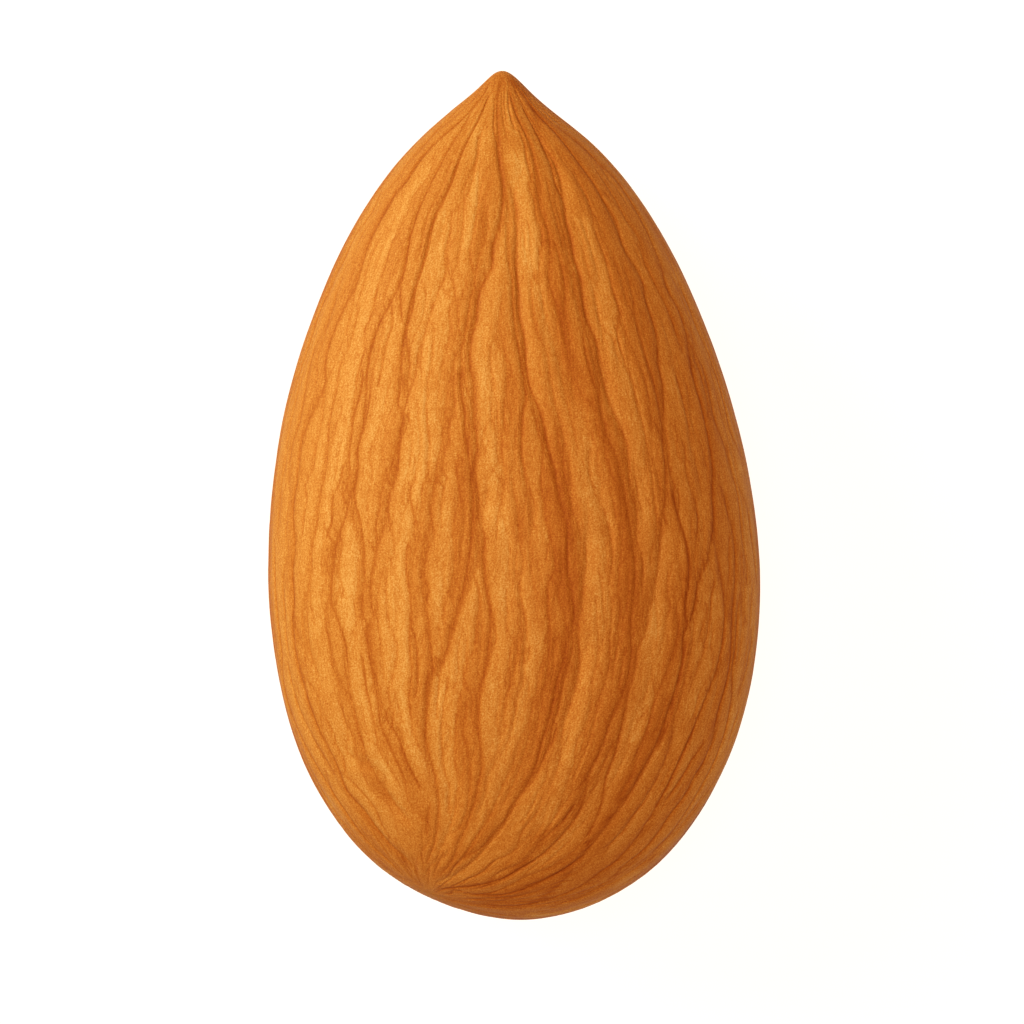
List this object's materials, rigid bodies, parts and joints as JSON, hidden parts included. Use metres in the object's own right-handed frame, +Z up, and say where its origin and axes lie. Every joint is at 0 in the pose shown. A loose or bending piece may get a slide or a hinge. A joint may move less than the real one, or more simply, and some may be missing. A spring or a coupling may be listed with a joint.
{
  "type": "almond kernel",
  "caption": "Whole shelled almond kernel in its wrinkled brown skin: a flattened teardrop with a small blunt tip, lying on a broad face.",
  "frame": {"origin": "middle of the kernel's length and width, on the surface that its lower broad face rests on", "axes": "+Z up through the kernel's thickness, +Y along its length towards the pointed tip, +X across its width"},
  "size_m": [0.0142, 0.0244, 0.0081],
  "materials": {
    "almond_skin": "matte"
  },
  "bodies": {
    "root": {"almond_kernel": "almond_skin"}
  },
  "joints": []
}
